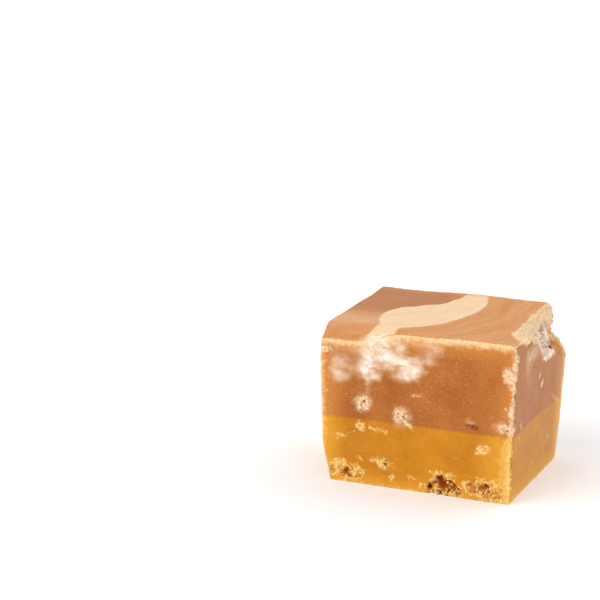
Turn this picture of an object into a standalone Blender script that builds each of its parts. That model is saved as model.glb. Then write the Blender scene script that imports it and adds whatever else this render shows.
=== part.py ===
"""One piece of two-layer fudge, cut by hand from a poured slab.

An amber vanilla layer lies under a brown toffee layer. The two were poured one on the other,
so each is its own solid and they meet face to face. The knife left the four sides nearly flat
with ragged edges, the top sags at the front left corner, a strip has crumbled off the top right
edge, and three hollows have crumbled out of the foot of the front.

Metres, +Z up. The origin is the middle of the base, -Y is the front and +X the right side.
"""

from math import radians

import bmesh
import bpy
from mathutils import Vector, noise

MM = 0.001

# Driving dimensions of the piece
WIDTH = 30.3 * MM
DEPTH = 25.4 * MM
HEIGHT = 24.3 * MM
LAYER_LINE = 10.25 * MM

# The poured top is not level, and the layers meet on a slight slope
TOP_RISE_TO_BACK = 1.3 * MM
TOP_RIPPLE = 0.18 * MM
TOP_RIPPLE_LENGTH = 9.0 * MM
LAYER_SLOPE = 0.012
LAYER_GAP = 0.3 * MM

# The knife leaned on each side, and the back right corner bulges above its middle
SIDE_LEAN = 0.25 * MM
BACK_BELLY = 0.8 * MM
BELLY_HEIGHT = 0.66

# Sag of the front left corner of the top
SAG_DROP = 2.3 * MM
SAG_FULL_X = -9.6 * MM
SAG_END_X = -1.6 * MM
SAG_REACH_Y = 3.4 * MM

# The foot of the left side is cut under along this plane, until it meets the side again
UNDERCUT_POINT = Vector((-15.2, -12.6, 6.6)) * MM
UNDERCUT_FACING = Vector((-0.975, 0.0, -0.222)).normalized()
UNDERCUT_START_Y = -10.7 * MM
UNDERCUT_END_Y = -3.0 * MM

# Wear of the edges and waviness of the cut faces
EDGE_ROUND = 0.4 * MM
EDGE_WEAR = 0.24 * MM
EDGE_WEAR_REACH = 1.0 * MM
EDGE_WEAR_GRAIN = 1.3 * MM
WAVE_HEIGHT = 0.14 * MM
WAVE_LENGTH = 7.0 * MM

# Strip crumbled off the top right edge: how far in along the top and how far down the side
BREAK_START_Y = -10.4 * MM
BREAK_FULL_Y = -5.4 * MM
BREAK_DEEP_Y = 3.5 * MM
BREAK_INWARD = 2.1 * MM
BREAK_DOWN_FRONT = 1.5 * MM
BREAK_DOWN_BACK = 5.8 * MM
BREAK_GRAIN = 1.6 * MM
BREAK_RELIEF = 0.3 * MM

# The broken corner behind that strip, and the smooth hollow where a flake came away
CORNER_POINT = Vector((13.9, 12.0, 24.0)) * MM
CORNER_FACING = Vector((0.85, 0.45, 0.28)).normalized()
CORNER_START_Y = 6.0 * MM
CORNER_FULL_Y = 10.5 * MM
FLAKE_CENTRE = (15.9, 4.4, 22.6)
FLAKE_RADIUS = 2.7
FLAKE_INWARD = Vector((-0.93, 0.0, -0.37)).normalized()

# Crumbled hollows in the foot of the front face: centre and radius in millimetres
FRONT = -DEPTH / MM / 2
FOOT_INWARD = Vector((0.0, 1.0, 0.12)).normalized()
FOOT_HOLLOWS = (
    ((2.7, FRONT, 1.15), 0.85),
    ((4.3, FRONT, 1.95), 1.15),
    ((6.1, FRONT, 1.5), 0.95),
    ((9.6, FRONT, 1.6), 0.95),
    ((11.3, FRONT, 1.9), 1.3),
    ((13.1, FRONT, 1.45), 0.95),
    ((-13.3, FRONT, 1.7), 0.8),
    ((-11.0, FRONT, 1.75), 1.15),
    ((-9.2, FRONT, 1.2), 0.7),
)

# Air holes that the knife opened in the front face
AIR_HOLES = (
    ((-2.2, FRONT, 11.6), 0.55),
    ((-8.2, FRONT, 13.1), 0.45),
    ((9.1, FRONT, 11.2), 0.5),
    ((-4.5, FRONT, 3.7), 0.6),
)
HOLLOW_GRAIN = 0.9 * MM
HOLLOW_ROUGHNESS = 0.16

# Mesh cells: plain faces, and how near a hollow they are halved once and twice
CELL = 1.25 * MM
HALVED_WITHIN = 1.5
QUARTERED_WITHIN = 0.5
ON_PLANE = 1e-7


def smooth(value, start, end):
    """0 before start, 1 after end, with an even change between them."""
    t = min(1.0, max(0.0, (value - start) / (end - start)))
    return t * t * (3.0 - 2.0 * t)


def grainy(p, size):
    """Relief from about -1 to 1 like that of broken sugar, with grains of the given size."""
    nearest = noise.voronoi(p / size)[0][0]
    return 1.0 - 1.6 * nearest + 0.5 * noise.noise(p / (2.3 * size))


def top_height(x, y):
    """Height of the poured top over a place of the base."""
    back = 0.5 + y / DEPTH
    sag = SAG_DROP * (1.0 - smooth(x, SAG_FULL_X, SAG_END_X))
    sag *= 1.0 - smooth(y, -DEPTH / 2, -DEPTH / 2 + SAG_REACH_Y)
    ripple = TOP_RIPPLE * noise.noise(Vector((x, y, 0.0)) / TOP_RIPPLE_LENGTH)
    return HEIGHT + TOP_RISE_TO_BACK * back - sag + ripple


def rounded(p):
    """Point p moved on to a block with rounded edges.

    Also gives the direction out of the block there, and the depths of p under its three
    nearest faces, least first.
    """
    middle = Vector((0.0, 0.0, HEIGHT / 2))
    half = Vector((WIDTH / 2, DEPTH / 2, HEIGHT / 2))
    centred = p - middle
    inner = Vector([max(EDGE_ROUND - h, min(h - EDGE_ROUND, c)) for c, h in zip(centred, half)])
    depths = sorted(h - abs(c) for c, h in zip(centred, half))
    away = centred - inner
    if away.length < ON_PLANE:
        return p.copy(), Vector((0.0, 0.0, 0.0)), depths
    direction = away.normalized()
    return middle + inner + direction * min(away.length, EDGE_ROUND), direction, depths


def without_strip(q):
    """Takes off what lies past the rough face that the crumbled strip left."""
    inward = max(0.02 * MM, BREAK_INWARD * smooth(q.y, BREAK_START_Y, BREAK_FULL_Y))
    down = BREAK_DOWN_FRONT * smooth(q.y, BREAK_START_Y, BREAK_FULL_Y)
    down += (BREAK_DOWN_BACK - BREAK_DOWN_FRONT) * smooth(q.y, BREAK_FULL_Y, BREAK_DEEP_Y)
    facing = Vector((max(0.02 * MM, down), 0.0, inward)).normalized()
    on_top = Vector((WIDTH / 2 + SIDE_LEAN - inward, q.y, top_height(WIDTH / 2, q.y)))
    past = (q - on_top).dot(facing) + BREAK_RELIEF * min(1.0, inward / MM) * grainy(q, BREAK_GRAIN)
    return q - facing * max(0.0, past) if inward > 0.1 * MM else q


def without_corner(q):
    """Takes off the broken back right corner of the top."""
    share = smooth(q.y, CORNER_START_Y, CORNER_FULL_Y)
    past = (q - CORNER_POINT).dot(CORNER_FACING) + BREAK_RELIEF * grainy(q, BREAK_GRAIN)
    past -= (1.0 - share) * 3.0 * MM
    return q - CORNER_FACING * max(0.0, past)


def undercut(q):
    """Leans the foot of the left side inwards at the front."""
    share = 1.0 - smooth(q.y, UNDERCUT_START_Y, UNDERCUT_END_Y)
    past = (q - UNDERCUT_POINT).dot(UNDERCUT_FACING) * share
    return q - UNDERCUT_FACING * max(0.0, past)


def scooped(q, centre, radius, direction):
    """Pushes q along direction until it is out of a rough ball, given in millimetres."""
    radius = radius * MM * (1.0 + HOLLOW_ROUGHNESS * grainy(q, HOLLOW_GRAIN))
    away = q - Vector(centre) * MM
    if away.length >= radius:
        return q
    along = away.dot(direction)
    push = -along + (along * along - away.length_squared + radius * radius) ** 0.5
    return q + direction * push


def shaped(p):
    """Where a point of the plain block ends up in the cut and crumbled piece."""
    q, direction, depths = rounded(p)
    above = max(0.0, q.z - LAYER_LINE) / (HEIGHT - LAYER_LINE)
    q.z += above * (top_height(q.x, q.y) - HEIGHT)

    up = min(1.0, p.z / HEIGHT)
    q.x += SIDE_LEAN * (2.0 * up - 1.0) * p.x / (WIDTH / 2)
    belly = BACK_BELLY * smooth(up, 0.0, BELLY_HEIGHT) * (1.0 - 0.5 * smooth(up, BELLY_HEIGHT, 1.0))
    belly *= smooth(p.y, 0.0, DEPTH / 2)
    q.y += belly
    q.x += 0.6 * belly * smooth(p.x, 0.0, WIDTH / 2)

    wave = WAVE_HEIGHT * noise.noise(p / WAVE_LENGTH)
    near_edge = 1.0 - smooth(depths[1], 0.0, EDGE_WEAR_REACH)
    wear = EDGE_WEAR * near_edge * grainy(p, EDGE_WEAR_GRAIN)
    q += direction * (wave + wear) * (1.0 - smooth(depths[0], 0.0, MM))

    q = without_strip(q)
    q = without_corner(q)
    q = scooped(q, FLAKE_CENTRE, FLAKE_RADIUS, FLAKE_INWARD)
    q = undercut(q)
    for centre, radius in FOOT_HOLLOWS:
        q = scooped(q, centre, radius, FOOT_INWARD)
    for centre, radius in AIR_HOLES:
        q = scooped(q, centre, radius, Vector((0.0, 1.0, 0.0)))
    q.z = 0.0 if p.z < ON_PLANE else max(q.z, 0.02 * MM)
    return q


def in_hollow(p, margin):
    """True within a margin of a hollow or an air hole."""
    places = FOOT_HOLLOWS + AIR_HOLES
    return any((p - Vector(c) * MM).length < (r + margin) * MM for c, r in places)


def on_break(p):
    """True over the part of the block that the crumbled strip and corner reach."""
    return p.x > WIDTH / 2 - 2.6 * MM and p.z > 18.2 * MM and p.y > BREAK_START_Y


def gridded_block(floor, ceiling):
    """The plain block of one layer, cut into cells."""
    bm = bmesh.new()
    sizes = Vector((WIDTH, DEPTH, ceiling - floor))
    lows = Vector((-WIDTH / 2, -DEPTH / 2, floor))
    bmesh.ops.create_cube(bm, size=1.0)
    bmesh.ops.scale(bm, vec=sizes, verts=bm.verts)
    bmesh.ops.translate(bm, vec=lows + sizes / 2, verts=bm.verts)
    for axis in range(3):
        normal = Vector([1.0 if a == axis else 0.0 for a in range(3)])
        count = round(sizes[axis] / CELL)
        for i in range(1, count):
            cut = normal * (lows[axis] + sizes[axis] * i / count)
            geometry = bm.verts[:] + bm.edges[:] + bm.faces[:]
            bmesh.ops.bisect_plane(bm, geom=geometry, dist=1e-8, plane_co=cut, plane_no=normal)
    return bm


def merge_flat_middle(bm, height):
    """Joins the cells inside a face that stays flat into one face."""
    limit = Vector((WIDTH, DEPTH)) / 2 - Vector((1.6, 1.6)) * CELL

    def inside(v):
        return abs(v.co.z - height) < ON_PLANE and abs(v.co.x) < limit.x and abs(v.co.y) < limit.y

    middle = [face for face in bm.faces if all(inside(v) for v in face.verts)]
    bmesh.ops.dissolve_faces(bm, faces=middle)


def halve_cells(bm, chosen):
    """Halves the cells whose corners are all chosen."""
    edges = [e for e in bm.edges if all(chosen(v.co) for v in e.verts)]
    bmesh.ops.subdivide_edges(bm, edges=edges, cuts=1, use_grid_fill=True)


def layer(name, floor, ceiling, flat_faces, material):
    """One layer of the slab as a closed solid, with its flat faces at the given heights."""
    bm = gridded_block(floor, ceiling)
    for height in flat_faces:
        merge_flat_middle(bm, height)
    halve_cells(bm, lambda p: in_hollow(p, HALVED_WITHIN) or on_break(p))
    halve_cells(bm, lambda p: in_hollow(p, QUARTERED_WITHIN))
    bmesh.ops.triangulate(bm, faces=bm.faces)
    for vert in bm.verts:
        at_layer_line = abs(vert.co.z - LAYER_LINE) < LAYER_GAP
        vert.co = shaped(vert.co)
        if at_layer_line:
            vert.co.z += LAYER_SLOPE * vert.co.x
    bmesh.ops.recalc_face_normals(bm, faces=bm.faces)
    mesh = bpy.data.meshes.new(name)
    bm.to_mesh(mesh)
    bm.free()
    mesh.materials.append(material)
    mesh.shade_smooth()
    mesh.set_sharp_from_angle(angle=radians(35))
    return bpy.data.objects.new(name, mesh)


def fudge_material(name, colour, roughness):
    material = bpy.data.materials.new(name)
    material.use_nodes = True
    shader = material.node_tree.nodes["Principled BSDF"]
    shader.inputs["Base Color"].default_value = (*colour, 1.0)
    shader.inputs["Roughness"].default_value = roughness
    shader.inputs["Metallic"].default_value = 0.0
    return material


def centre_on_origin(objects):
    """Moves the piece so that the origin is the middle of the base of its bounding box."""
    points = [v.co for obj in objects for v in obj.data.vertices]
    middle_x = (min(p.x for p in points) + max(p.x for p in points)) / 2
    middle_y = (min(p.y for p in points) + max(p.y for p in points)) / 2
    for p in points:
        p.x -= middle_x
        p.y -= middle_y


def main():
    for obj in list(bpy.data.objects):
        bpy.data.objects.remove(obj, do_unlink=True)
    collection = bpy.data.collections.new("layered_fudge")
    bpy.context.scene.collection.children.link(collection)
    vanilla = fudge_material("vanilla_fudge", (0.66, 0.26, 0.02), 0.5)
    toffee = fudge_material("toffee_fudge", (0.50, 0.16, 0.045), 0.5)
    top_of_vanilla = LAYER_LINE - LAYER_GAP / 2
    foot_of_toffee = LAYER_LINE + LAYER_GAP / 2
    pieces = [
        layer("vanilla_layer", 0.0, top_of_vanilla, (0.0, top_of_vanilla), vanilla),
        layer("toffee_layer", foot_of_toffee, HEIGHT, (foot_of_toffee,), toffee),
    ]
    centre_on_origin(pieces)
    for piece in pieces:
        collection.objects.link(piece)


main()
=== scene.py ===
from functools import partial
from math import cos, pi, radians, sin, tau
from random import Random

import bmesh
import bpy
from mathutils import Euler, Matrix, Vector, noise


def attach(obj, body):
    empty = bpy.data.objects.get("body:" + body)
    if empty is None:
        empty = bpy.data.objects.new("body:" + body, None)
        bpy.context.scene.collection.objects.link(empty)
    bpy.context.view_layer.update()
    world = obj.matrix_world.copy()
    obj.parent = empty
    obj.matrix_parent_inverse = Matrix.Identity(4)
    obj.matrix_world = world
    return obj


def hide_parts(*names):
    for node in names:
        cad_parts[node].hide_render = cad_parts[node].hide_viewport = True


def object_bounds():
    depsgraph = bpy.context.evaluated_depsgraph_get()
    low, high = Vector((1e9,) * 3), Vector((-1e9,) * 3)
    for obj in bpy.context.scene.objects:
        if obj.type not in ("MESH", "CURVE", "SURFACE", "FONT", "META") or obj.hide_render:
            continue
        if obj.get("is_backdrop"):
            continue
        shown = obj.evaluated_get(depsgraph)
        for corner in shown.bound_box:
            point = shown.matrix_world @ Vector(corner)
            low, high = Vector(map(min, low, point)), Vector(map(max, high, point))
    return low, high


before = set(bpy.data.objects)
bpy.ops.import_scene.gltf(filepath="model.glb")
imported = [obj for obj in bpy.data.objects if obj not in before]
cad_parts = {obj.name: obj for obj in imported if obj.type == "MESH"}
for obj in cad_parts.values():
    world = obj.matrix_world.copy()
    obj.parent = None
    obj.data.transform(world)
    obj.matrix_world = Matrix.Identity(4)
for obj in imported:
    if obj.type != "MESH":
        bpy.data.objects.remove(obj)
cad_low, cad_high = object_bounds()

# The piece of fudge
# An amber vanilla slab with a brown toffee slab poured over it, both of boiled sugar, butter and
# milk beaten until it grained. Cream fudge was swirled into the top, and the cold slab was cut
# by hand, so the faces are satin smooth, while the edges and the foot have crumbled.

# The same broken shapes in every run
noise.seed_set(7)

# Sizes of the cut piece, in millimetres
width, depth, height = 30.3, 25.4, 24.3
layer_line = 10.25
right, back = width / 2, depth / 2
front, left = -back, -right

# How far the sides lean out at the top
lean = 0.25

# A place that is nearer to a face than this is on it
hair = 1e-4

# Where the strip that crumbled off the top right edge starts, and how wide it is at most
strip_start, strip_width = -11.4, 2.75

# Flakes that split off behind and below the strip: centre and radius of a ball
flakes = [
    ((15.9, 4.4, 22.3), 2.7),
    ((16.3, 8.6, 21.9), 2.5),
    ((15.8, 12.4, 21.6), 2.7),
]

# Hollows crumbled out of the foot of the sides: centre and radius of a ball, and the share of it
# that is gone
foot_hollows = [
    ((2.8, front, 1.05), 0.9, 1.0),
    ((4.2, front, 1.75), 1.25, 1.0),
    ((5.6, front, 1.55), 1.1, 1.0),
    ((6.7, front, 1.15), 0.75, 0.9),
    ((9.3, front, 1.6), 0.85, 0.5),
    ((10.8, front, 1.85), 1.15, 0.65),
    ((11.8, front, 1.3), 0.9, 0.6),
    ((13.1, front, 1.45), 0.95, 0.5),
    ((-13.3, front, 1.7), 0.8, 0.25),
    ((-11.0, front, 1.45), 0.95, 0.7),
    ((-9.2, front, 1.2), 0.7, 0.3),
    ((left, 4.9, 1.5), 1.15, 0.8),
    ((left, 3.2, 1.1), 0.8, 0.6),
    ((-7.0, back, 1.6), 1.25, 0.8),
    ((-5.3, back, 1.2), 0.85, 0.5),
    ((7.4, back, 1.3), 0.9, 0.5),
]

# Air holes and slits that the knife opened: centre and radius of a ball
air_holes = [
    ((-8.2, front, 13.1), 0.3),
    ((-8.75, front, 12.5), 0.18),
    ((-2.5, front, 11.95), 0.26),
    ((-1.96, front, 11.3), 0.28),
    ((-8.8, front, 9.25), 0.22),
    ((-5.0, front, 8.93), 0.2),
    ((-4.85, front, 4.15), 0.24),
    ((-4.6, front, 3.75), 0.3),
    ((-4.3, front, 3.3), 0.24),
    ((-7.0, front, 18.7), 0.18),
    ((8.5, front, 11.35), 0.36),
    ((8.98, front, 11.2), 0.42),
    ((9.5, front, 11.0), 0.34),
    ((13.6, front, 11.45), 0.22),
    ((14.4, front, 11.4), 0.24),
    ((right, 6.4, 19.7), 0.55),
    ((right - 1.1, 0.3, 23.0), 0.55),
    ((right, 7.3, 14.0), 0.26),
    ((right, -6.9, 20.4), 0.2),
]

# Clusters of pale sugar crumbs: centre, half width, half height, slant in degrees, strength
crumb_patches = [
    ((-8.4, front, 12.9), 1.45, 1.45, 20, 0.85),
    ((-2.45, front, 11.7), 1.35, 1.4, -20, 1.0),
    ((-1.1, front, 10.4), 1.3, 0.6, -38, 0.9),
    ((-8.8, front, 9.2), 0.95, 0.85, 0, 0.8),
    ((-6.6, front, 9.0), 1.7, 0.4, 0, 0.62),
    ((-4.9, front, 8.95), 0.6, 0.6, 0, 0.7),
    ((-12.1, front, 7.25), 1.5, 0.6, 14, 0.62),
    ((-10.1, front, 8.1), 0.9, 0.3, 14, 0.5),
    ((-5.0, front, 3.85), 1.6, 1.0, -16, 0.92),
    ((-6.6, front, 4.1), 1.0, 0.5, -10, 0.62),
    ((-3.6, front, 1.9), 0.8, 0.45, 0, 0.85),
    ((-0.4, front, 2.0), 0.85, 0.4, 0, 0.7),
    ((-9.1, front, 4.35), 0.75, 0.45, 0, 0.7),
    ((13.9, front, 11.5), 1.4, 1.0, 0, 0.85),
    ((14.1, front, 14.5), 0.9, 0.6, 0, 0.66),
    ((14.4, front, 19.4), 1.0, 1.4, 0, 0.95),
    ((10.6, front, 7.85), 1.25, 0.85, 26, 0.95),
    ((6.0, front, 6.1), 0.9, 0.22, 14, 0.5),
    ((0.4, front, 15.0), 1.9, 0.35, 0, 0.64),
    ((-14.4, front, 20.8), 1.1, 0.6, -20, 0.8),
    ((-12.4, front, 3.0), 1.9, 0.9, 0, 0.85),
    ((-9.0, front, 2.2), 1.5, 0.9, -35, 0.85),
    ((4.3, front, 3.35), 2.4, 0.5, 0, 0.9),
    ((8.1, front, 2.2), 0.9, 1.1, 0, 0.9),
    ((left, 4.2, 2.9), 2.2, 0.6, 0, 0.85),
    ((-6.4, back, 3.0), 2.4, 0.6, 8, 0.85),
    ((7.4, back, 2.4), 1.3, 0.6, -10, 0.8),
    ((11.6, front, 3.2), 2.6, 0.55, -6, 0.75),
    ((1.3, front, 1.2), 0.8, 0.6, 30, 0.75),
    ((right, 1.7, 14.9), 0.45, 0.75, -20, 1.2),
    ((right, 0.4, 16.8), 0.35, 0.5, -20, 1.1),
    ((right, -8.6, 11.0), 0.5, 0.9, 20, 0.7),
    ((right, -9.4, 9.4), 0.6, 0.5, 0, 0.7),
    ((right, 5.3, 2.3), 1.0, 0.3, -35, 0.5),
    ((right, 11.2, 20.2), 1.8, 0.9, -10, 0.75),
]

# Patches of white sugar bloom: centre, half width, half height, slant in degrees, strength
bloom_patches = [
    ((-12.2, front, 18.0), 2.0, 2.6, 8, 0.48),
    ((-11.9, front, 16.8), 1.2, 1.0, 0, 0.25),
    ((-9.6, front, 18.6), 1.9, 1.8, 0, 0.28),
    ((-7.3, front, 18.3), 1.9, 2.2, -8, 0.74),
    ((-6.8, front, 17.3), 1.3, 1.0, 0, 0.45),
    ((-6.4, front, 20.9), 2.5, 1.4, 0, 1.4),
    ((-6.3, front, 22.6), 3.2, 1.6, 0, 0.75),
    ((-1.1, front, 18.15), 2.7, 1.15, 18, 0.8),
    ((-1.3, front, 20.0), 4.2, 0.8, 3, 0.6),
    ((-4.0, front, 19.8), 5.5, 2.4, 0, 0.2),
    ((-2.5, front, 21.6), 1.2, 1.8, 0, 0.5),
    ((-4.1, front, 21.0), 1.6, 0.9, 0, 0.4),
    ((-3.9, front, 19.0), 1.5, 0.6, 0, 0.25),
    ((2.4, front, 21.6), 2.4, 1.3, 20, 0.36),
    ((0.6, front, 22.9), 3.8, 0.7, 2, 0.3),
    ((-7.7, front, 15.2), 0.6, 1.2, 0, 0.3),
    ((-11.4, front, 21.2), 3.0, 0.8, -8, 0.2),
    ((8.5, front, 11.9), 1.2, 0.8, 0, 0.26),
    ((-8.4, front, 13.0), 1.9, 1.9, 20, 0.34),
    ((-2.2, front, 11.4), 1.9, 1.9, -20, 0.38),
    ((13.6, front, 11.6), 1.9, 1.1, 0, 0.36),
    ((10.6, front, 7.8), 1.7, 1.1, 26, 0.22),
    ((14.1, front, 19.6), 0.9, 1.6, 0, 0.25),
    ((right, 4.8, 21.8), 4.6, 2.8, 14, 1.0),
    ((right, 10.0, 22.0), 2.8, 1.9, 0, 0.7),
    ((right, -3.0, 21.2), 3.4, 1.8, 0, 0.36),
    ((right, -6.2, 20.2), 1.5, 2.7, 8, 0.36),
    ((right, 5.4, 18.9), 2.6, 0.7, 0, 1.0),
    ((right, 2.4, 18.8), 1.2, 0.5, 0, 0.7),
    ((right, 8.6, 11.2), 2.6, 0.3, -32, 0.4),
    ((right, 6.0, 5.6), 3.0, 0.25, -36, 0.35),
    ((right, -2.0, 3.6), 1.2, 0.25, -32, 0.35),
]

# The left and back faces can't be seen, so theirs are strewn by chance in the front's style: three
# groups of four bloom patches high up, and seven clusters of crumbs, the larger with an air hole
strewn = Random(11)
left_face = (Vector((left, 0.0, 0.0)), Vector((0.0, 1.0, 0.0)))
back_face = (Vector((0.0, back, 0.0)), Vector((1.0, 0.0, 0.0)))
bloom_groups = ((-7.0, 20.5), (0.5, 17.5), (7.0, 20.0))
cluster_sizes = (1.3, 1.0, 0.9, 0.6, 0.5, 0.5, 0.4)
cluster_heights = (4.5, 8.0, 9.5, 12.5)
for middle, across in (left_face, back_face):
    for along, up in bloom_groups:
        for blot in range(4):
            centre = middle + across * (along + strewn.uniform(-2.4, 2.4))
            centre.z = up + strewn.uniform(-2.0, 2.0)
            size = strewn.uniform(0.9, 2.6)
            slant, strength = strewn.uniform(-15, 20), strewn.uniform(0.3, 0.7)
            bloom_patches.append((tuple(centre), size, 0.55 * size, slant, strength))
    for size in cluster_sizes:
        centre = middle + across * strewn.uniform(-10.5, 10.5)
        centre.z = strewn.choice(cluster_heights) + strewn.uniform(-1.0, 1.0)
        slant = strewn.uniform(-30, 30)
        crumb_patches.append((tuple(centre), 1.1 * size, 0.7 * size, slant, strewn.uniform(0.7, 0.95)))
        bloom_patches.append((tuple(centre), 1.4 * size, size, slant, 0.28))
        if size > 0.8:
            air_holes.append((tuple(centre), 0.26))


def smooth(value, start, end):
    """0 before start, 1 after end, with an even change between them."""
    t = min(1.0, max(0.0, (value - start) / (end - start)))
    return t * t * (3.0 - 2.0 * t)


def grainy(p, size):
    """Relief from about -1 to 1 like that of broken sugar, with grains of the given size."""
    nearest = noise.voronoi(p / size)[0][0]
    return 1.0 - 1.6 * nearest + 0.5 * noise.noise(p / (2.3 * size))


def top_height(x, y):
    """Height of the poured top, which rises to the back and sags at the front left."""
    front_height, rise, most_sag, most_ripple = height - 0.22, 1.3, 1.8, 0.18
    sag = most_sag * (1.0 - smooth(x, -9.6, -1.6)) * (1.0 - smooth(y, front, front + 3.4))
    ripple = most_ripple * noise.noise(Vector((x, y, 0.0)) / 9.0)
    return front_height + rise * (0.5 + y / depth) - sag + ripple


def rounded(p):
    """Point p on a block with worn round edges, and the direction out of the block there."""
    edge_round = 0.4
    middle = Vector((0.0, 0.0, height / 2))
    half = (right, back, height / 2)
    centred = p - middle
    inner = Vector([max(edge_round - h, min(h - edge_round, c)) for c, h in zip(centred, half)])
    away = centred - inner
    direction = away.normalized()
    return middle + inner + direction * min(away.length, edge_round), direction


def edge_distances(p):
    """How far p lies from the block's edges, always in this order: the foot, the front right,
    front top and right top edges, the other upright edges and the other edges of the top."""
    to_right, to_left = right - p.x, p.x - left
    to_back, to_front = back - p.y, p.y - front
    to_top = height - p.z
    return (
        max(p.z, min(to_right, to_left, to_back, to_front)),
        max(to_right, to_front),
        max(to_top, to_front),
        max(to_top, to_right),
        min(max(to_right, to_back), max(to_left, to_back), max(to_left, to_front)),
        max(to_top, min(to_left, to_back)),
    )


def rim_distance(p):
    """How far p lies from the edges, for the glow of light through the fudge that is painted into its
    colour there, in millimetres that are shorter where the painted glow is wide and start above 0 where it
    is weak."""
    foot, front_right, front_top, _, upright, top_rim = edge_distances(p)
    if p.z > height - hair:
        return min(2.0 * (p.y - front) + 0.1, back - p.y + 0.9)
    if p.x > right - hair:
        return min(0.62 * upright, 0.8 * foot + 0.35)
    in_toffee = smooth(p.z, layer_line - 1.0, layer_line + 1.0)
    front_right = (0.5 + 0.2 * in_toffee) * front_right + 0.6 * in_toffee
    corner = 0.75 * (front_right * front_right + front_top * front_top) ** 0.5
    front_top = front_top - 0.2
    return min(front_right, corner, front_top, 0.7 * upright + 0.2, top_rim + 0.3, foot + 0.5)


def broken_off(q):
    """How far q lies past the rough face left by the strip that crumbled off the top right
    edge, and the direction out of that face. The face turns steeper towards the back."""
    drop, steeper_drop = 1.5, 4.3
    share = smooth(q.y, strip_start, -6.0)
    inward = strip_width * share
    down = drop * share + steeper_drop * smooth(q.y, -5.4, 3.5)
    if inward < 0.1:
        return 0.0, Vector((0.0, 0.0, 1.0))
    facing = Vector((down, 0.0, inward)).normalized()
    top = top_height(right, q.y)
    on_top = Vector((right + lean - inward, q.y, top))
    rough = 1.0 - 0.65 * smooth(top - q.z, 1.2, 3.0)
    relief = 0.42 * grainy(q, 1.9) + 0.22 * grainy(q, 0.95) + 0.06 * grainy(q, 0.42)
    rough *= smooth(inward, 1.0, 2.7) * (0.55 + 0.45 * smooth(top - q.z, 0.0, 0.8))
    return (q - on_top).dot(facing) + rough * relief, facing


def inward_from(centre):
    """Direction into the block from a place on one of its four sides."""
    if abs(centre[0]) == right:
        return Vector((-centre[0] / right, 0.0, 0.0))
    return Vector((0.0, -centre[1] / back, 0.0))


def scooped(q, place, centre, radius, direction, share):
    """Pushes q along direction towards the far wall of a ball, by a share of the way, if place,
    which is q shaken about, lies in the ball. Also gives how far it went."""
    away = place - Vector(centre)
    if away.length >= radius:
        return q, 0.0
    along = away.dot(direction)
    push = share * (-along + (along * along - away.length_squared + radius * radius) ** 0.5)
    return q + direction * push, push


def worn(p, q, direction):
    """Adds the knife's waves and the ragged wear of the edges, which is worst at the front
    right one."""
    wave_height, bite_depth = 0.14, 0.36
    distances = edge_distances(p)
    wear_depths = (0.1, 0.24, 0.05, 0.15, 0.08, 0.05)
    near = max(most * (1.0 - smooth(d, 0.0, 1.0)) for most, d in zip(wear_depths, distances))
    wave = wave_height * noise.noise(p / 7.0)
    if near == 0.0:
        return q + direction * wave
    wear = near * (grainy(p, 1.5) + 0.32 * grainy(p, 0.65) + 0.12 * grainy(p, 0.3))
    front_right = distances[1]
    jagged = noise.noise(p / 1.1 + Vector((7, 3, 1))) + 1.2 * noise.noise(p / 2.6 + Vector((2, 9, 5)))
    bites = bite_depth * (1.0 - smooth(front_right, 0.0, 1.2)) * jagged
    return q + direction * (wave + wear + bites)


def shaken(p, size):
    """Point p moved about, so that what is drawn round it gets a broken outline."""
    return p + 0.6 * size * noise.noise_vector(p / size) + 0.3 * size * noise.noise_vector(2.7 * p / size)


def settled(p):
    """Where a point of the plain block lies once the slab was poured, settled and cut, and the way
    out of the block there. The left side stands out a little, and the back bulges."""
    left_out, bulge = 0.2, 0.8
    q, direction = rounded(p)
    q.z += max(0.0, q.z - layer_line) / (height - layer_line) * (top_height(q.x, q.y) - height)
    up = min(1.0, p.z / height)
    q.x += lean * (2.0 * up - 1.0) * p.x / right - left_out * smooth(-p.x, 0.0, right)
    belly = bulge * smooth(up, 0.0, 0.66) * (1.0 - 0.5 * smooth(up, 0.66, 1.0)) * smooth(p.y, 0.0, back)
    q.y += belly
    q.x += 0.6 * belly * smooth(p.x, 0.0, right)
    return worn(p, q, direction), direction


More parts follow.
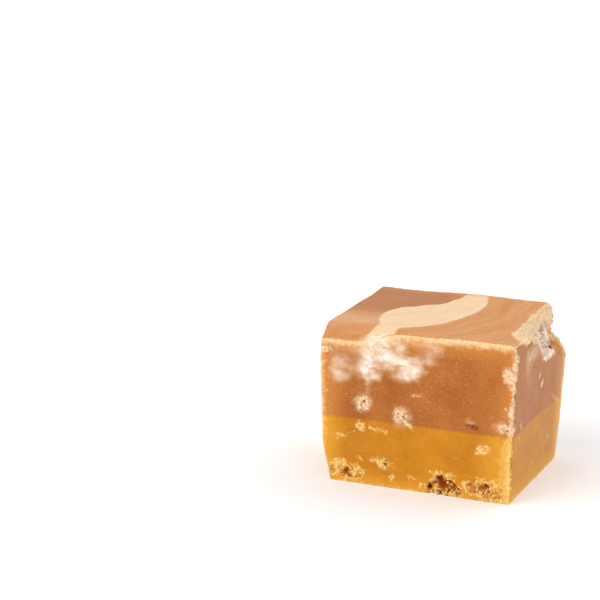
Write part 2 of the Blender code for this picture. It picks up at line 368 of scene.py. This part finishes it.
def crumbled(q):
    """Where q ends up once the top right edge has crumbled, and how freshly broken the fudge is
    there, with more than 1 for the whitest."""
    past, facing = broken_off(q)
    drop = top_height(right, q.y) - q.z + 0.9 * noise.noise(q / 1.3)
    crumbly = 0.8 + 1.5 * smooth(q.y, -6.0, -1.0) - 1.1 * smooth(q.y, 0.0, 3.0)
    fresh = 1.3 * smooth(past, -0.1, 0.3) * (1.0 - smooth(drop, crumbly - 0.5, crumbly + 0.7))
    q = q - facing * max(0.0, past)

    # The corner at the back end of the strip
    on_corner, corner = Vector((14.4, 12.0, 23.8)), Vector((0.8, 0.42, 0.42)).normalized()
    past = (q - on_corner).dot(corner) - 3.0 * (1.0 - smooth(q.y, 6.0, 10.5))
    past += 0.25 * grainy(q, 1.6) + 0.12 * grainy(q, 0.7) - 0.3 * smooth(q.z, 23.3, 24.6)
    q = q - corner * max(0.0, past)
    fresh = max(fresh, 1.2 * smooth(past, 0.0, 0.3) * smooth(q.z, 22.6, 23.6))

    # Flakes split off inwards and a little downwards, and leave smoother fudge
    split = Vector((-0.93, 0.0, -0.37)).normalized()
    for centre, radius in flakes:
        q, deep = scooped(q, shaken(q, 1.4), centre, radius, split, 1.0)
        fresh *= 1.0 - 0.75 * smooth(deep, 0.1, 0.6)

    # The slope under the corner
    on_slope, slope = Vector((14.6, 12.6, 19.1)), Vector((0.83, 0.0, 0.56)).normalized()
    past = (q - on_slope).dot(slope) + 0.2 * grainy(q, 1.1)
    past *= smooth(q.y, 7.0, 10.5) * (1.0 - smooth(q.z, 21.4, 22.4))
    return q - slope * max(0.0, past), fresh


def undercut(q):
    """Where q ends up once the foot of the left side is cut in towards the front."""
    on_cut, outward = Vector((-15.2, -12.6, 6.6)), Vector((-0.975, 0.0, -0.222)).normalized()
    past = (q - on_cut).dot(outward) * (1.0 - smooth(q.y, -10.7, -3.0))
    return q - outward * max(0.0, past)


def hollowed(p, q, fresh):
    """Where q ends up in the hollows of the foot and in the air holes, how freshly broken the
    fudge is there, and how deep in a hollow it lies, where 1 is deep."""
    hollows_end, lean_up, deep_hollow, deep_hole = 5.0, 0.12, 1.1, 0.4
    recess = 0.0
    if p.z < hollows_end:
        place = shaken(q, 0.9)
        grain = 0.14 * grainy(q, 0.5) + 0.07 * grainy(q, 0.25)
        for centre, radius, share in foot_hollows:
            if (q - Vector(centre)).length > 2.0 * radius + 0.8:
                continue
            into = (inward_from(centre) + Vector((0.0, 0.0, lean_up))).normalized()
            lumpy = share * (0.9 + 0.6 * noise.noise(q / 0.9))
            q, deep = scooped(q, place, centre, 1.12 * radius, into, lumpy)
            recess = max(recess, deep / deep_hollow)
            reach = (place - Vector(centre)).length / radius
            fresh = max(fresh, (1.0 - smooth(reach, 1.0, 1.55)) * (0.15 + 0.85 * smooth(reach, 0.65, 0.95)))
            q = q - into * grain * (1.0 - smooth(reach, 0.9, 1.4))
            place = place + into * deep
    for centre, radius in air_holes:
        if (q - Vector(centre)).length < 2.0 * radius:
            q, deep = scooped(q, shaken(q, 0.4), centre, radius, inward_from(centre), 0.85)
            recess = max(recess, deep / deep_hole)
    return q, fresh, recess


def shaped(p):
    """Where a point of the plain block ends up in the piece, the way out of the block there, how
    freshly broken the fudge is, and how deep in a hollow it lies, up to 1."""
    furthest_front, furthest_back, off_floor = front - 0.3, back + 0.75, 0.02
    q, direction = settled(p)
    q, fresh = crumbled(q)
    q, fresh, recess = hollowed(p, undercut(q), fresh)
    q.y = min(max(q.y, furthest_front), furthest_back)
    q.z = 0.0 if p.z < hair else max(q.z, off_floor)
    return q, direction, fresh, min(1.0, recess)


def patch_strength(p, patch):
    """Strength at p of a patch on a side of the block, from its middle to nothing outside."""
    (x, y, z), half_wide, half_high, slant, strength = patch
    on_end = abs(x) == right
    off_face, along = (p.x - x, p.y - y) if on_end else (p.y - y, p.x - x)
    # Patches on the ends reach further in, to the back of the broken strip
    deepest = 3.6 if on_end else 1.4
    if abs(off_face) > deepest or abs(along) > 1.5 * (half_wide + half_high):
        return 0.0
    turn = radians(slant)
    across = (along * cos(turn) + (p.z - z) * sin(turn)) / half_wide
    rise = ((p.z - z) * cos(turn) - along * sin(turn)) / half_high
    return strength * (1.0 - smooth((across * across + rise * rise) ** 0.5, 0.2, 1.4))


def edge_crumbs(p):
    """Strength at p of the pale crumbs along the block's edges, in bands that widen and narrow."""
    uneven = 0.7 + 1.3 * noise.noise(p / 2.3) + 0.6 * noise.noise(p / 0.8)
    widths = (0.5, 1.25, 0.55, 0.8, 0.7, 0.5)
    on_front = 1.0 - smooth(p.y - front, 0.2, 0.5)
    in_toffee = smooth(p.z, layer_line - 2.0, layer_line + 1.0)
    strengths = (0.6, on_front * (0.55 + 0.3 * in_toffee), 0.6, 0.95, 0.45, 0.45)
    bands = zip(edge_distances(p), widths, strengths)
    return max(s * (1.0 - smooth(d, 0.1 * w, w * max(0.35, uneven))) for d, w, s in bands)


def along_curve(points, place):
    """Value at a place of the smooth curve through points (place, value), whose places fall."""
    last = len(points) - 1
    i = next((k for k in range(last) if place >= points[k + 1][0]), last - 1)
    before, here, after, beyond = [points[max(0, min(last, k))] for k in range(i - 1, i + 3)]
    length = here[0] - after[0]
    t = (here[0] - place) / length
    leaving = (after[1] - before[1]) / (before[0] - after[0]) * length
    arriving = (beyond[1] - here[1]) / (here[0] - beyond[0]) * length
    level = here[1] + (after[1] - here[1]) * t * t * (3.0 - 2.0 * t)
    return level + t * (1.0 - t) * (leaving * (1.0 - t) - arriving * t)


# A distance for places that have nothing to do with the swirl
far_from_cream = 5.0


def in_cream(p, q):
    """How far inside the cream swirl a place lies, in millimetres. It is only as deep as the top's
    skin, and its edges are given as (y, x) from the back to the front."""
    left_edge = (
        (14.5, 0.0), (10.0, -1.1), (6.3, -2.8), (3.4, -6.0), (1.0, -8.2), (-2.0, -9.3),
        (-5.5, -8.8), (-8.4, -7.6), (-10.6, -8.0), (-13.5, -9.8),
    )
    right_edge = (
        (14.5, 2.5), (10.0, 3.6), (5.0, 4.5), (-1.0, 3.2), (-5.0, 1.2), (-7.8, -1.3),
        (-9.3, -3.7), (-10.6, -4.0), (-13.5, -3.2),
    )
    wander = noise.noise_vector(Vector((q.x, q.y, 3.0)) / 2.4)
    x, y = q.x + 0.3 * wander.x, q.y + 0.3 * wander.y
    below = height - p.z
    # The edges slant, so they lie nearer than they do straight across
    inside = 0.8 * min(x - along_curve(left_edge, y), along_curve(right_edge, y) - x)
    return inside - far_from_cream * smooth(below, 0.0, 1.6)


def wanted_cells(p):
    """How often the cells at p are halved: twice where the fudge is broken, once near edges."""
    if p.z < hair:
        return 0
    foot, front_right, front_top, right_top, upright, top_rim = edge_distances(p)
    if front_right < 1.0 or front_top < 0.3 or foot < 0.3:
        return 2
    if p.x > right - 3.6 and p.z > 18.0 and p.y > strip_start:
        return 2
    for centre, radius, _ in foot_hollows:
        if (p - Vector(centre)).length < radius + 0.7:
            return 2
    for centre, radius in air_holes:
        if (p - Vector(centre)).length < radius + 0.4:
            return 2
    strewn_here = max(patch_strength(p, patch) for patch in crumb_patches)
    if strewn_here > 0.45:
        return 2
    return 1 if strewn_here > 0.15 or min(foot, front_top, right_top, upright, top_rim) < 1.1 else 0


# The plain block, cut into cells, which are halved where the fudge is broken. The base stays flat,
# so its middle is one face
cell = 0.44
block = bmesh.new()
bmesh.ops.create_cube(block, size=1.0)
bmesh.ops.scale(block, vec=(width, depth, height), verts=block.verts)
bmesh.ops.translate(block, vec=(0.0, 0.0, height / 2), verts=block.verts)
for axis, size in enumerate((width, depth, height)):
    along = [e for e in block.edges if abs((e.verts[0].co - e.verts[1].co)[axis]) > 1e-3]
    bmesh.ops.subdivide_edges(block, edges=along, cuts=round(size / cell) - 1, use_grid_fill=True)
base_middle = [
    f for f in block.faces
    if all(v.co.z < hair and abs(v.co.x) < right - 1 and abs(v.co.y) < back - 1 for v in f.verts)
]
bmesh.ops.dissolve_faces(block, faces=base_middle)
for level in (1, 2):
    near = {v for v in block.verts if wanted_cells(v.co) >= level}
    chosen = [e for e in block.edges if e.verts[0] in near and e.verts[1] in near]
    bmesh.ops.subdivide_edges(block, edges=chosen, cuts=1, use_grid_fill=True)
bmesh.ops.triangulate(block, faces=[f for f in block.faces if len(f.verts) > 4])

# A flat map of the six faces, side by side in two rows, for the finished colours
chart = block.loops.layers.uv.new("OFBake")
margin = 0.02
for face in block.faces:
    axis = max(range(3), key=lambda a: abs(face.normal[a]))
    across, up = [a for a in range(3) if a != axis]
    column, row = axis, 1 if face.normal[axis] > 0 else 0
    for loop in face.loops:
        co = loop.vert.co - Vector((left, front, 0.0))
        loop[chart].uv = (
            (column + margin + (1.0 - 2.0 * margin) * co[across] / width) / 3,
            (row + margin + (1.0 - 2.0 * margin) * co[up] / width) / 2,
        )

# The cut and crumbled piece, with what its fudge looks like at each point, and where glow and shade are
# painted into its colour
crumb_relief = 0.14
looks = {
    name: block.verts.layers.float.new(name)
    for name in ("crumb", "bloom", "recess", "cream", "rim", "top", "valley_painted_shade")
}
for vert in block.verts:
    p = vert.co.copy()
    q, direction, fresh, recess = shaped(p)
    place = shaken(q, 0.8)
    near_top = p.z > height - 5.0
    cream = in_cream(p, q) if near_top else -far_from_cream
    strewn_here = max(patch_strength(place, patch) for patch in crumb_patches)
    crumb = max(fresh, edge_crumbs(p) * (1.0 - 0.8 * smooth(cream, -0.2, 0.6)), strewn_here)
    clear = 1.0
    for patch in bloom_patches:
        clear *= 1.0 - min(1.0, patch_strength(place, patch))
    vert[looks["crumb"]] = crumb
    vert[looks["bloom"]] = 1.1 * (1.0 - clear)
    vert[looks["recess"]] = recess
    vert[looks["cream"]] = cream
    vert[looks["rim"]] = rim_distance(p)
    vert[looks["top"]] = 1.0 if p.z > height - hair else 0.0
    lumps = grainy(q, 0.6) + 0.4 * grainy(q, 0.3)
    vert.co = q + direction * crumb_relief * min(1.0, strewn_here) * lumps

# How far each point lies below its neighbours, in millimetres, for the painted shade between the grains
block.normal_update()
for vert in block.verts:
    neighbours = [edge.other_vert(vert).co for edge in vert.link_edges]
    middle = sum(neighbours, Vector()) / len(neighbours)
    vert[looks["valley_painted_shade"]] = (middle - vert.co).dot(vert.normal)

# Millimetres to metres, with the middle of the foot where the solids have it
low = Vector([min(v.co[a] for v in block.verts) for a in range(3)])
high = Vector([max(v.co[a] for v in block.verts) for a in range(3)])
own_middle = Vector(((low.x + high.x) / 2, (low.y + high.y) / 2, 0.0))
cad_middle = Vector(((cad_low.x + cad_high.x) / 2, (cad_low.y + cad_high.y) / 2, cad_low.z))
to_frame = Matrix.Translation(cad_middle) @ Matrix.Scale(0.001, 4) @ Matrix.Translation(-own_middle)
bmesh.ops.transform(block, matrix=to_frame, verts=block.verts)


def linear_colour(code):
    """A hex sRGB colour as linear red, green, blue and alpha."""
    parts = [int(code[i:i + 2], 16) / 255 for i in (1, 3, 5)]
    return tuple(c / 12.92 if c <= 0.04045 else ((c + 0.055) / 1.055) ** 2.4 for c in parts) + (1.0,)


def add_node(tree, kind, inputs, output=0, **settings):
    """Adds a node with its settings, links its inputs or sets them to a number or a hex colour,
    and gives one of its outputs."""
    made = tree.nodes.new(kind)
    for name, value in settings.items():
        setattr(made, name, value)
    for name, value in inputs.items():
        if isinstance(value, bpy.types.NodeSocket):
            tree.links.new(value, made.inputs[name])
        else:
            made.inputs[name].default_value = linear_colour(value) if isinstance(value, str) else value
    return made.outputs[output]


def grained_fudge(name):
    """Grained fudge: sugar in grains too fine to see, held by butter. The knife leaves it satin,
    and a little light comes through it. Where it crumbles, the grains make it pale and dull."""
    material = bpy.data.materials.new(name)
    material.use_nodes = True
    tree = material.node_tree
    shader = tree.nodes["Principled BSDF"]
    node = partial(add_node, tree)
    # A mix of colours takes the share of the second at 0 and the colours at 6 and 7
    mixing = {"output": 2, "data_type": "RGBA"}
    easing = {"interpolation_type": "SMOOTHSTEP"}

    # Places in millimetres, so that a pattern's scale says how often it repeats in one
    place = node("ShaderNodeTexCoord", {}, "Object")
    mm = node("ShaderNodeMapping", {"Vector": place, "Scale": (1000, 1000, 1000)})
    z = node("ShaderNodeSeparateXYZ", {0: mm}, 2)
    crumb, bloom, recess, cream, rim, top, valley_painted_shade = [
        node("ShaderNodeAttribute", {}, "Fac", attribute_name=look) for look in looks
    ]

    # Unevenness over 5 mm and 1 mm, and grains of a quarter of a millimetre, which is coarser than
    # sugar in fudge is, so that they show
    clouds = node("ShaderNodeTexNoise", {"Vector": mm, "Scale": 0.2, "Detail": 4.0})
    mottle = node("ShaderNodeTexNoise", {"Vector": mm, "Scale": 1.0, "Detail": 5.0, "Roughness": 0.6})
    grain = node("ShaderNodeTexNoise", {"Vector": mm, "Scale": 4.5, "Detail": 3.0, "Roughness": 0.6})
    uneven = node("ShaderNodeMath", {0: mottle, 1: 0.4, 2: clouds}, operation="MULTIPLY_ADD")
    uneven = node("ShaderNodeMapRange", {"Value": uneven, "From Min": 0.5, "From Max": 0.9})

    # The two poured layers, with a soft, wandering line between them
    vanilla = node("ShaderNodeMix", {0: uneven, 6: "#C47A0A", 7: "#D89016"}, **mixing)
    toffee = node("ShaderNodeMix", {0: uneven, 6: "#AC601E", 7: "#C07632"}, **mixing)
    line = node("ShaderNodeMath", {0: mottle, 1: 0.9, 2: z}, operation="MULTIPLY_ADD")
    line = node(
        "ShaderNodeMapRange",
        {"Value": line, "From Min": layer_line + 0.15, "From Max": layer_line + 0.75}, **easing
    )
    body = node("ShaderNodeMix", {0: line, 6: vanilla, 7: toffee}, **mixing)

    # The top, drawn out in curved strokes round the middle of the swirl
    swirl_middle = 1000.0 * (to_frame @ Vector((-13.0, 5.0, 0.0)))
    bend = 3.0
    bent = node("ShaderNodeTexNoise", {"Vector": mm, "Scale": 0.12, "Detail": 1.0}, "Color")
    bent = node("ShaderNodeVectorMath", {0: bent, 3: bend}, operation="SCALE")
    flat = node("ShaderNodeVectorMath", {0: mm, 1: bent}, operation="ADD")
    centred = (-swirl_middle.x - bend / 2, -swirl_middle.y - bend / 2, 0.0)
    flat = node("ShaderNodeMapping", {"Vector": flat, "Location": centred, "Scale": (1, 1, 0)})
    radius = node("ShaderNodeVectorMath", {0: flat}, 1, operation="LENGTH")
    flat_x = node("ShaderNodeSeparateXYZ", {0: flat}, 0)
    flat_y = node("ShaderNodeSeparateXYZ", {0: flat}, 1)
    angle = node("ShaderNodeMath", {0: flat_y, 1: flat_x}, operation="ARCTAN2")
    drawn = node("ShaderNodeCombineXYZ", {0: radius, 1: angle})
    broad = node("ShaderNodeTexNoise", {"Vector": drawn, "Scale": 0.5, "Detail": 3.0})
    fine = node("ShaderNodeTexNoise", {"Vector": drawn, "Scale": 2.6, "Detail": 4.0, "Roughness": 0.65})
    strokes = node("ShaderNodeMath", {0: fine, 1: 0.8, 2: broad}, operation="MULTIPLY_ADD")
    strokes = node("ShaderNodeMapRange", {"Value": strokes, "From Min": 0.7, "From Max": 1.08})
    poured = node("ShaderNodeMix", {0: strokes, 6: "#CE8444", 7: "#DE9C60"}, **mixing)

    # The top is darker behind the swirl. Where it sags at the front left it is painted paler and pinker, a
    # painted sheen that stands in for the reflection of the white surround, which the slope, tilted towards
    # the front, catches less of
    behind = node("ShaderNodeMapRange", {"Value": radius, "From Min": 15.5, "From Max": 11.0}, **easing)
    front_of = node("ShaderNodeMapRange", {"Value": flat_y, "From Min": -12.0, "From Max": -4.0}, **easing)
    behind = node("ShaderNodeMath", {0: behind, 1: front_of}, operation="MULTIPLY")
    poured = node("ShaderNodeMix", {0: behind, 6: poured, 7: "#B87440"}, **mixing)
    # Painted sheen on the sag at the front left of the top
    sag_painted_sheen = node("ShaderNodeMapRange", {"Value": radius, "From Min": 19.0, "From Max": 13.0}, **easing)
    forward = node(
        "ShaderNodeMapRange",
        {"Value": flat_y, "From Min": -7.0, "From Max": -11.0, "To Max": 0.42}, **easing
    )
    sag_painted_sheen = node("ShaderNodeMath", {0: sag_painted_sheen, 1: forward}, operation="MULTIPLY")
    poured = node("ShaderNodeMix", {0: sag_painted_sheen, 6: poured, 7: "#E4AE86"}, **mixing)
    body = node("ShaderNodeMix", {0: top, 6: body, 7: poured}, **mixing)

    # Cream fudge swirled through it
    cream = node("ShaderNodeMath", {0: mottle, 1: 0.5, 2: cream}, operation="MULTIPLY_ADD")
    cream = node("ShaderNodeMapRange", {"Value": cream, "From Min": 0.1, "From Max": 0.45}, **easing)
    creamy = node("ShaderNodeMix", {0: strokes, 6: "#F4CA9C", 7: "#FAD7AF"}, **mixing)
    body = node("ShaderNodeMix", {0: cream, 6: body, 7: creamy}, **mixing)

    # Painted glow: yellower and paler towards the edges, painted into the colour for the light that comes
    # through the fudge there, on top of what the subsurface scattering lets through
    rim = node("ShaderNodeMath", {0: mottle, 1: 2.0, 2: rim}, operation="MULTIPLY_ADD")
    painted_glow = node("ShaderNodeMix", {0: line, 6: "#E9A730", 7: "#DC8F42"}, **mixing)
    wide = node(
        "ShaderNodeMapRange", {"Value": rim, "From Min": 4.3, "From Max": 1.4, "To Max": 0.85}, **easing
    )
    body = node("ShaderNodeMix", {0: wide, 6: body, 7: painted_glow}, **mixing)
    # A narrower and paler painted glow right at the edges; the same pale colour also serves the painted
    # glints and the pale grains below
    painted_light_and_pale_grain = node("ShaderNodeMix", {0: line, 6: "#FAD47E", 7: "#FFDDA6"}, **mixing)
    narrow = node(
        "ShaderNodeMapRange", {"Value": rim, "From Min": 2.1, "From Max": 0.9, "To Max": 0.85}, **easing
    )
    body = node("ShaderNodeMix", {0: narrow, 6: body, 7: painted_light_and_pale_grain}, **mixing)

    # Painted glints: single crystals of sugar, here and there, painted pale as if they catch the light; and
    # fine pale and dark grains
    specks = {"Vector": mm, "Scale": 1.7}
    painted_glint = node("ShaderNodeTexVoronoi", specks, "Distance")
    few = node("ShaderNodeTexVoronoi", specks, "Color")
    few = node("ShaderNodeMath", {0: clouds, 1: 0.8, 2: few}, operation="MULTIPLY_ADD")
    painted_glint = node("ShaderNodeMapRange", {"Value": painted_glint, "From Min": 0.19, "From Max": 0.09})
    few = node("ShaderNodeMapRange", {"Value": few, "From Min": 1.15, "From Max": 1.3, "To Max": 0.6})
    painted_glint = node("ShaderNodeMath", {0: painted_glint, 1: few}, operation="MULTIPLY")
    body = node("ShaderNodeMix", {0: painted_glint, 6: body, 7: painted_light_and_pale_grain}, **mixing)
    sugary = node("ShaderNodeMapRange", {"Value": grain, "From Min": 0.52, "From Max": 0.8, "To Max": 0.22})
    body = node("ShaderNodeMix", {0: sugary, 6: body, 7: painted_light_and_pale_grain}, **mixing)
    dim = node("ShaderNodeMix", {0: line, 6: "#B06A14", 7: "#96552A"}, **mixing)
    dark = node("ShaderNodeMapRange", {"Value": grain, "From Min": 0.48, "From Max": 0.22, "To Max": 0.35})
    body = node("ShaderNodeMix", {0: dark, 6: body, 7: dim}, **mixing)

    # White sugar bloom in feathery patches, brushed sideways by the knife
    brushed = node(
        "ShaderNodeMapping",
        {"Vector": mm, "Rotation": (0, radians(-16), 0), "Scale": (0.5, 0.8, 0.8)},
    )
    feathers = node(
        "ShaderNodeTexNoise",
        {"Vector": brushed, "Scale": 0.9, "Detail": 5.0, "Roughness": 0.55, "Distortion": 0.3},
    )
    feathers = node(
        "ShaderNodeMapRange",
        {"Value": feathers, "From Min": 0.32, "From Max": 0.64, "To Min": 0.42, "To Max": 1.3},
    )
    bloom = node("ShaderNodeMath", {0: feathers, 1: bloom}, operation="MULTIPLY")
    bloom = node("ShaderNodeMapRange", {"Value": bloom, "From Min": 0.06, "From Max": 0.95, "To Max": 0.93})
    frosted = node("ShaderNodeMix", {0: bloom, 6: "#FFDDB4", 7: "#FFF6EA"}, **mixing)
    body = node("ShaderNodeMix", {0: bloom, 6: body, 7: frosted}, **mixing)

    # Pale broken sugar in clumps of grains, about half a millimetre each
    clumps = node("ShaderNodeTexVoronoi", {"Vector": mm, "Scale": 2.3}, "Distance")
    ragged = node("ShaderNodeTexNoise", {"Vector": mm, "Scale": 1.8, "Detail": 4.0, "Roughness": 0.7})
    share = node("ShaderNodeMath", {0: clumps, 1: -0.45, 2: crumb}, operation="MULTIPLY_ADD")
    share = node("ShaderNodeMath", {0: ragged, 1: 0.95, 2: share}, operation="MULTIPLY_ADD")
    share = node(
        "ShaderNodeMapRange",
        {"Value": share, "From Min": 0.42, "From Max": 1.15, "To Max": 0.95}, **easing
    )
    white = node("ShaderNodeMapRange", {"Value": crumb, "From Min": 0.95, "From Max": 1.25})
    pale = node("ShaderNodeMix", {0: line, 6: "#FFDC8E", 7: "#FFE0BC"}, **mixing)
    pale = node("ShaderNodeMix", {0: white, 6: pale, 7: "#FFEBC9"}, **mixing)
    # Between the clumps it is less pale: partly the fudge between the grains, partly painted shade in the
    # low places of the relief
    between = node("ShaderNodeMix", {0: line, 6: "#F0B452", 7: "#EDBA84"}, **mixing)
    between = node("ShaderNodeMix", {0: white, 6: between, 7: "#FFD8AA"}, **mixing)
    gap_fudge_and_painted_shade = node("ShaderNodeMath", {0: grain, 1: 0.5, 2: clumps}, operation="MULTIPLY_ADD")
    gap_fudge_and_painted_shade = node("ShaderNodeMapRange", {"Value": gap_fudge_and_painted_shade, "From Min": 0.6, "From Max": 1.0}, **easing)
    pale = node("ShaderNodeMix", {0: gap_fudge_and_painted_shade, 6: pale, 7: between}, **mixing)
    body = node("ShaderNodeMix", {0: share, 6: body, 7: pale}, **mixing)

    # Painted shade: less pale between the grains, where a point lies below its neighbours, standing in for
    # the shade and the warm light bounced in the gaps
    painted_valley_colour = node("ShaderNodeMix", {0: line, 6: "#C87A1A", 7: "#B87644"}, **mixing)
    valley_painted_shade = node("ShaderNodeMapRange", {"Value": valley_painted_shade, "From Min": 0.0, "From Max": 0.05}, **easing)
    shallow = node("ShaderNodeMath", {0: white, 1: -0.6, 2: 0.9}, operation="MULTIPLY_ADD")
    valley_painted_shade = node("ShaderNodeMath", {0: valley_painted_shade, 1: shallow}, operation="MULTIPLY")
    body = node("ShaderNodeMix", {0: valley_painted_shade, 6: body, 7: painted_valley_colour}, **mixing)

    # Painted shade: a deep, dark colour inside the hollows and air holes
    deep = node("ShaderNodeMix", {0: line, 6: "#A9570C", 7: "#9A5228"}, **mixing)
    painted_hollow_shade = node("ShaderNodeMath", {0: grain, 1: 0.7, 2: recess}, operation="MULTIPLY_ADD")
    painted_hollow_shade = node("ShaderNodeMapRange", {"Value": painted_hollow_shade, "From Min": 0.55, "From Max": 1.1}, **easing)
    body = node("ShaderNodeMix", {0: painted_hollow_shade, 6: body, 7: deep}, **mixing)

    # A little relief of grains, stronger where the fudge is broken
    bumps = node("ShaderNodeMath", {0: clumps, 1: -1.0, 2: grain}, operation="MULTIPLY_ADD")
    bumps = node("ShaderNodeMath", {0: bumps, 1: share}, operation="MULTIPLY")
    bumps = node("ShaderNodeMath", {0: grain, 1: 0.12, 2: bumps}, operation="MULTIPLY_ADD")
    relief = node("ShaderNodeBump", {"Strength": 0.8, "Distance": 0.00012, "Height": bumps})

    # Satin where the knife cut, dull under bloom and crumbs, which let no light through
    dull = node("ShaderNodeMath", {0: share, 1: bloom}, operation="MAXIMUM")
    dull = node("ShaderNodeMapRange", {"Value": dull, "To Min": 0.4, "To Max": 0.75})
    milky = node("ShaderNodeMapRange", {"Value": share, "To Min": 0.6, "To Max": 0.0})

    tree.links.new(body, shader.inputs["Base Color"])
    tree.links.new(milky, shader.inputs["Subsurface Weight"])
    tree.links.new(dull, shader.inputs["Roughness"])
    tree.links.new(relief, shader.inputs["Normal"])
    # Sugar syrup and butter bend light alike, and a grained face mirrors less than a clear one
    shader.inputs["IOR"].default_value = 1.45
    shader.inputs["Specular IOR Level"].default_value = 0.2
    # The light that gets in spreads by half a millimetre, and red light the furthest
    shader.inputs["Subsurface Radius"].default_value = (1.0, 0.5, 0.2)
    shader.inputs["Subsurface Scale"].default_value = 0.0005
    return material


def finished_piece(name, shape, material):
    """Makes a mesh object of a shape, riding on the body, with its material."""
    mesh = bpy.data.meshes.new(name)
    shape.to_mesh(mesh)
    shape.free()
    mesh.shade_smooth()
    mesh.materials.append(material)
    piece = bpy.data.objects.new(name, mesh)
    bpy.context.scene.collection.objects.link(piece)
    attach(piece, "root")
    return piece


# Where loose crumbs can lie, below and above the line between the layers: places, directions out
# of the piece and how pale the fudge is there. They lie on crumbly fudge, off the floor, but not
# deep in a hollow
crumbly, deep, clear_of_floor = 0.72, 0.8, 0.0002
lies_on = {"vanilla": [], "toffee": []}
layer_height = (to_frame @ Vector((0.0, 0.0, layer_line))).z
block.normal_update()
for vert in block.verts:
    if vert[looks["crumb"]] > crumbly and vert[looks["recess"]] < deep and vert.co.z > clear_of_floor:
        kind = "vanilla" if vert.co.z < layer_height else "toffee"
        lies_on[kind].append((vert.co.copy(), vert.normal.copy(), vert[looks["crumb"]]))

fudge = grained_fudge("grained_fudge")
fudge_piece = finished_piece("fudge_piece", block, fudge)
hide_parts("vanilla_layer", "toffee_layer")

# The crumbs
# Grains and small lumps of fudge that broke off under the knife and stuck to the edges, to the
# rims of the hollows and to the broken strip, by their own butter.


def loose_crumbs(name, places, count, seed):
    """Joined grains of broken fudge, each a lump of twenty facets pressed into the surface. Their
    sizes are in millimetres."""
    grain_sizes = (0.08, 0.1, 0.12, 0.15, 0.2)
    chance = Random(seed)
    grains = bmesh.new()
    crumb = grains.verts.layers.float.new("crumb")
    for place, outward, paleness in chance.sample(places, count):
        size = 0.001 * chance.choice(grain_sizes)
        stretch = [size * chance.uniform(0.7, 1.3) for axis in range(3)]
        turned = Euler([chance.uniform(0.0, tau) for axis in range(3)]).to_matrix().to_4x4()
        centre = place + outward * 0.1 * size
        centre.z = max(centre.z, 1.4 * size)
        lump = bmesh.ops.create_icosphere(
            grains, subdivisions=1, radius=1.0,
            matrix=Matrix.Translation(centre) @ turned @ Matrix.Diagonal((*stretch, 1.0)),
        )
        for vert in lump["verts"]:
            vert.co += (centre - vert.co) * chance.uniform(-0.15, 0.3)
            vert[crumb] = max(1.0, paleness)
    return finished_piece(name, grains, fudge)


loose_crumbs("vanilla_crumbs", lies_on["vanilla"], 500, 3)
loose_crumbs("toffee_crumbs", lies_on["toffee"], 800, 5)

# The floor
# A cast sheet of white acrylic with a matt face, which scatters the light. It is lit a little from
# below, and is wide enough to fill the view.
floor_shape = bmesh.new()
bmesh.ops.create_grid(floor_shape, x_segments=1, y_segments=1, size=8.0)
floor_mesh = bpy.data.meshes.new("floor")
floor_shape.to_mesh(floor_mesh)
floor_shape.free()
acrylic = bpy.data.materials.new("matt_acrylic")
acrylic.use_nodes = True
sheet = acrylic.node_tree.nodes["Principled BSDF"]
sheet.inputs["Base Color"].default_value = linear_colour("#F8F8F8")
sheet.inputs["Roughness"].default_value = 0.9
sheet.inputs["Emission Color"].default_value = linear_colour("#FFFFFF")
sheet.inputs["Emission Strength"].default_value = 0.12
floor_mesh.materials.append(acrylic)
floor = bpy.data.objects.new("floor", floor_mesh)
bpy.context.scene.collection.objects.link(floor)
floor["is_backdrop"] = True

# The studio light
# A white surround that lights every side, a broad soft light over the left shoulder and a weak
# one from behind, both high up.
world = bpy.data.worlds.new("surround")
bpy.context.scene.world = world
world.use_nodes = True
background = world.node_tree.nodes["Background"]
background.inputs["Color"].default_value = linear_colour("#FFFFFF")
background.inputs["Strength"].default_value = 0.64


def soft_light(name, towards, brightness):
    """A broad, even light from one direction, which lights a white surface to the brightness."""
    data = bpy.data.lights.new(name, "SUN")
    data.angle = radians(50)
    data.energy = pi * brightness
    lamp = bpy.data.objects.new(name, data)
    lamp.rotation_euler = (-Vector(towards)).to_track_quat("-Z", "Y").to_euler()
    bpy.context.scene.collection.objects.link(lamp)


soft_light("key_light", (-0.45, -0.65, 0.62), 0.4)
soft_light("back_light", (0.35, 0.5, 0.79), 0.23)

# The camera
# At the photograph's viewing angle, a little above the piece and to its right, with a long lens a
# quarter of a metre away.
camera_data = bpy.data.cameras.new("camera")
camera_data.sensor_width = 36.0
camera_data.lens = 96.0
camera_data.clip_start = 0.01
camera = bpy.data.objects.new("camera", camera_data)
outward = Vector((0.40513, -0.88859, 0.21510))
up = Vector((-0.08923, 0.19572, 0.97659))
turned = Matrix((up.cross(outward), up, outward)).transposed().to_4x4()
place = to_frame @ Vector((79.60, -228.70, 80.15))
camera.matrix_world = Matrix.Translation(place) @ turned
bpy.context.scene.collection.objects.link(camera)
bpy.context.scene.camera = camera
bpy.context.scene.view_settings.view_transform = "Standard"

low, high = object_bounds()
